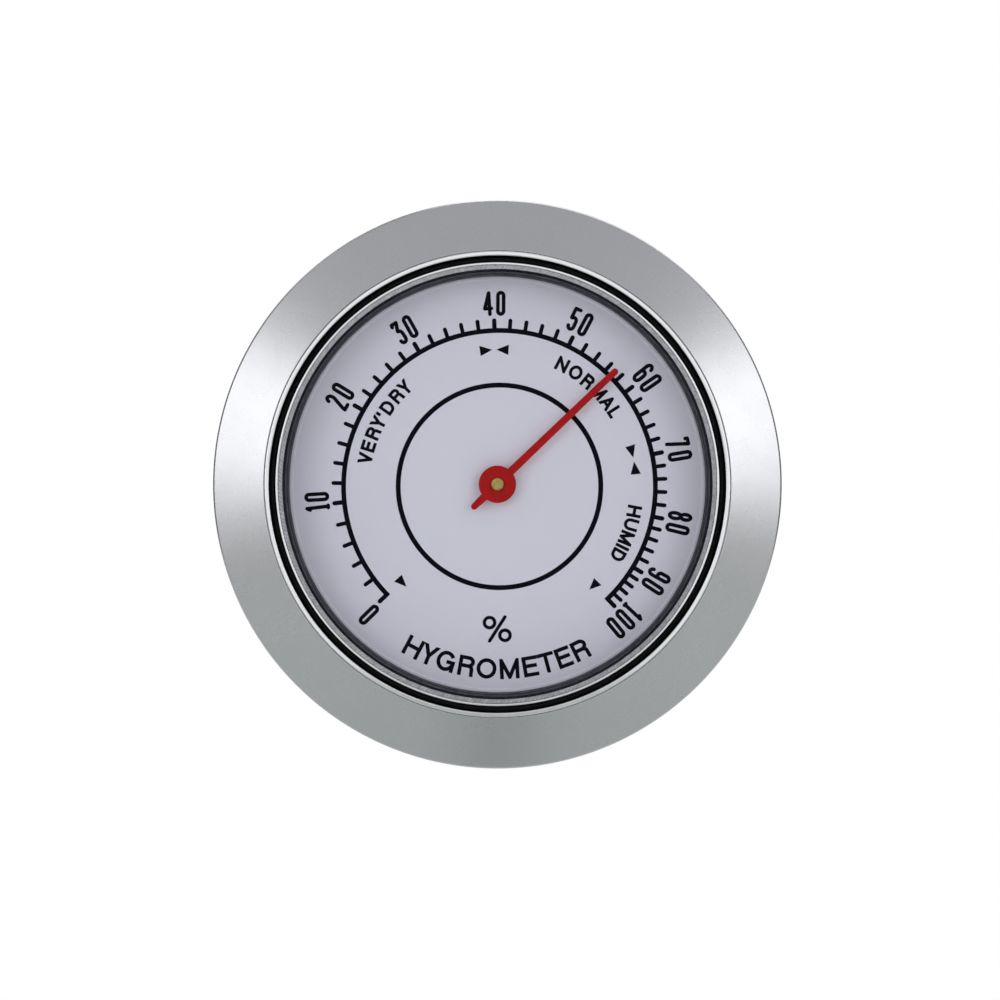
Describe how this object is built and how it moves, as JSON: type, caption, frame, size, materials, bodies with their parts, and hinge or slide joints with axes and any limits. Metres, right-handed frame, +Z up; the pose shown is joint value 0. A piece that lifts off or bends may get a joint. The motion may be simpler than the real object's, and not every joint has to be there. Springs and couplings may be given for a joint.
{
  "type": "dial hygrometer",
  "caption": "Round panel-mount dial hygrometer: satin-chrome flange, push-fit capsule, pale printed dial, red pointer and a moisture-sensitive coil movement.",
  "frame": {"origin": "on the dial's axis, in the plane of the flange's rear face, which rests on the panel", "axes": "+Z up towards the 40 percent mark, the dial faces -Y, +X to the reader's right, +Y into the panel"},
  "size_m": [0.06, 0.0151, 0.06],
  "materials": {
    "satin_chrome": "satin-plated cone, bright rounded lip",
    "bright_chrome": "polished",
    "ribbed_steel": "fine radial ribs",
    "black_rubber": "moulded, low sheen",
    "dark_surround": "moulded, matt",
    "black_enamel": "stoved satin paint on steel",
    "lens_glass": "clear, polished",
    "dial_enamel": "pale lilac-grey, smooth and matt",
    "dial_ink": "screen-printed black",
    "pointer_red": "red lacquer",
    "brass": "turned",
    "bronze": "turned, oiled",
    "plate_aluminium": "fine rolled sheet",
    "screw_steel": "turned",
    "strip_metal": "rolled strip",
    "strip_film": "moisture-sensitive layer",
    "felt": "pressed dust felt"
  },
  "bodies": {
    "mounting_ring": {"mounting_bezel": "satin_chrome", "grip_band": "black_rubber"},
    "capsule": {"capsule_rim": "bright_chrome", "ribbed_ring": "ribbed_steel", "lens": "lens_glass", "lens_gasket": "black_rubber", "dial_spacer": "dark_surround", "dial_plate": "dial_enamel", "case_can": "black_enamel", "front_o_ring": "black_rubber", "rear_o_ring": "black_rubber", "vent_screen": "felt", "back_spacer": "dark_surround", "movement_plate": "plate_aluminium", "pillars": "brass", "movement_bridge": "brass", "bridge_screws": "screw_steel", "front_bearing": "bronze"},
    "calibrator": {"adjuster_screw": "brass", "adjuster_clip": "screw_steel", "coil_arm": "brass", "coil_stud": "brass", "stud_cap": "screw_steel", "rear_bearing": "bronze", "coil_metal": "strip_metal", "coil_paper": "strip_film"},
    "pointer_arbor": {"coil_collet": "brass", "arbor": "brass", "pointer": "pointer_red"}
  },
  "joints": [
    {"name": "capsule_pull", "type": "slide", "parent": "mounting_ring", "child": "capsule", "axis": [0, -1, 0], "range_m": [0, 0.02]},
    {"name": "calibration_turn", "type": "hinge", "parent": "capsule", "child": "calibrator", "pos_m": [0, 0.01, 0], "axis": [0, -1, 0], "range_deg": [-30, 30]},
    {"name": "pointer_turn", "type": "hinge", "parent": "calibrator", "child": "pointer_arbor", "pos_m": [0, 0.004, 0], "axis": [0, -1, 0], "range_deg": [-89.9, 179], "stiffness_Nm_per_rad": 0.00005, "deforming": ["coil_metal", "coil_paper"]}
  ]
}
